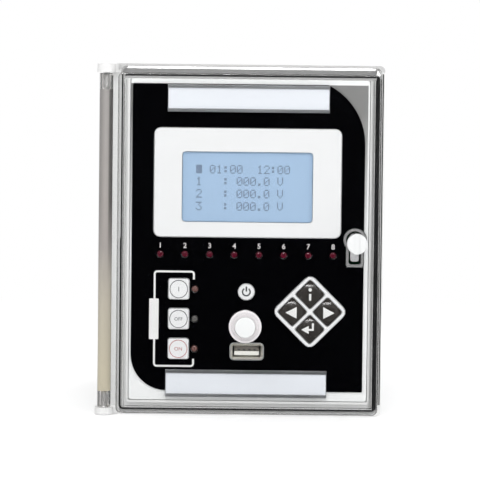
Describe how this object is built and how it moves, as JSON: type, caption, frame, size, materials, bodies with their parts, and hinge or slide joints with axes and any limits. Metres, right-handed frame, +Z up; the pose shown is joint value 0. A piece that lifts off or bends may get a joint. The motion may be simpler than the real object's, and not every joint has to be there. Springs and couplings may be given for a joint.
{
  "type": "protection relay",
  "caption": "Flush-mounting relay: deep case behind a flange, dark facia with display, lamps and keys, and a clear hinged cover with a turning lock and a push plunger.",
  "frame": {"origin": "middle of the outer box's underside, level with the flange's bottom edge", "axes": "+Z up, +X to the right of a viewer who faces the facia, +Y to the rear; the facia looks along -Y"},
  "size_m": [0.1274, 0.225, 0.156],
  "materials": {
    "white_moulding": "fine satin",
    "clear_moulding": "clear, polished",
    "grey_moulding": "satin",
    "dark_moulding": "satin, domed",
    "black_moulding": "satin",
    "black_film": "fine-grained film",
    "display": "lit display",
    "lamp": "diffused, unlit",
    "dull_red_lamp": "diffused, unlit",
    "steel": "nickel plated",
    "zinc_plate": "zinc plated",
    "case_paint": "powder coated",
    "core": "varnished laminations",
    "circuit_board": "solder resist",
    "rubber": "matt",
    "label_paper": "uncoated"
  },
  "bodies": {
    "case": {"mounting_flange": "white_moulding", "hinge_pin_bottom": "steel", "hinge_pin_top": "steel", "cover_gasket": "rubber", "lock_keeper": "grey_moulding", "front_plate": "white_moulding", "facia": "black_film", "lcd_bezel": "white_moulding", "lcd_window": "clear_moulding", "lcd_panel": "display", "led_1": "lamp", "led_2": "lamp", "led_3": "lamp", "led_4": "lamp", "led_5": "lamp", "led_6": "lamp", "led_7": "lamp", "led_8": "lamp", "key_led_1": "dull_red_lamp", "key_led_2": "lamp", "key_led_3": "dull_red_lamp", "power_lens": "white_moulding", "nav_frame": "white_moulding", "usb_shell": "steel", "usb_tongue": "white_moulding", "label_rail_top": "zinc_plate", "label_strip_top": "label_paper", "label_rail_bottom": "zinc_plate", "label_strip_bottom": "label_paper", "case_shell": "case_paint", "rear_plate": "case_paint", "earth_screw": "steel", "terminal_block_1": "black_moulding", "terminal_block_2": "black_moulding", "panel_clamp_left": "zinc_plate", "panel_clamp_right": "zinc_plate", "clamp_screw_left": "steel", "clamp_screw_right": "steel", "front_board": "circuit_board", "chassis_tray": "zinc_plate", "main_board": "circuit_board", "supply_board": "circuit_board", "input_transformer_1": "core", "input_transformer_2": "core", "input_transformer_3": "core", "rear_connector": "black_moulding"},
    "cover": {"cover": "clear_moulding", "plunger_spring": "steel"},
    "lock": {"lock_knob": "white_moulding", "lock_tongue": "grey_moulding"},
    "plunger": {"reset_plunger": "white_moulding", "plunger_clip": "steel"},
    "key_1": {"key_1": "white_moulding"},
    "key_2": {"key_2": "white_moulding"},
    "key_3": {"key_3": "white_moulding"},
    "nav_key_up": {"nav_key_up": "dark_moulding"},
    "nav_key_left": {"nav_key_left": "dark_moulding"},
    "nav_key_right": {"nav_key_right": "dark_moulding"},
    "nav_key_enter": {"nav_key_enter": "dark_moulding"}
  },
  "joints": [
    {"name": "cover_hinge", "type": "hinge", "parent": "case", "child": "cover", "pos_m": [-0.05965, -0.07895, 0.078], "axis": [0, 0, -1], "range_deg": [0, 105]},
    {"name": "lock_turn", "type": "hinge", "parent": "cover", "child": "lock", "pos_m": [0.05115, -0.10555, 0.0789], "axis": [0, 1, 0], "range_deg": [0, 90]},
    {"name": "plunger_press", "type": "slide", "parent": "cover", "child": "plunger", "axis": [0, 1, 0], "range_m": [0, 0.0025], "stiffness_N_per_m": 300, "deforming": ["plunger_spring"]},
    {"name": "key_1_press", "type": "slide", "parent": "case", "child": "key_1", "axis": [0, 1, 0], "range_m": [0, 0.0005], "stiffness_N_per_m": 400},
    {"name": "key_2_press", "type": "slide", "parent": "case", "child": "key_2", "axis": [0, 1, 0], "range_m": [0, 0.0005], "stiffness_N_per_m": 400},
    {"name": "key_3_press", "type": "slide", "parent": "case", "child": "key_3", "axis": [0, 1, 0], "range_m": [0, 0.0005], "stiffness_N_per_m": 400},
    {"name": "nav_key_up_press", "type": "slide", "parent": "case", "child": "nav_key_up", "axis": [0, 1, 0], "range_m": [0, 0.0005], "stiffness_N_per_m": 400},
    {"name": "nav_key_left_press", "type": "slide", "parent": "case", "child": "nav_key_left", "axis": [0, 1, 0], "range_m": [0, 0.0005], "stiffness_N_per_m": 400},
    {"name": "nav_key_right_press", "type": "slide", "parent": "case", "child": "nav_key_right", "axis": [0, 1, 0], "range_m": [0, 0.0005], "stiffness_N_per_m": 400},
    {"name": "nav_key_enter_press", "type": "slide", "parent": "case", "child": "nav_key_enter", "axis": [0, 1, 0], "range_m": [0, 0.0005], "stiffness_N_per_m": 400}
  ]
}
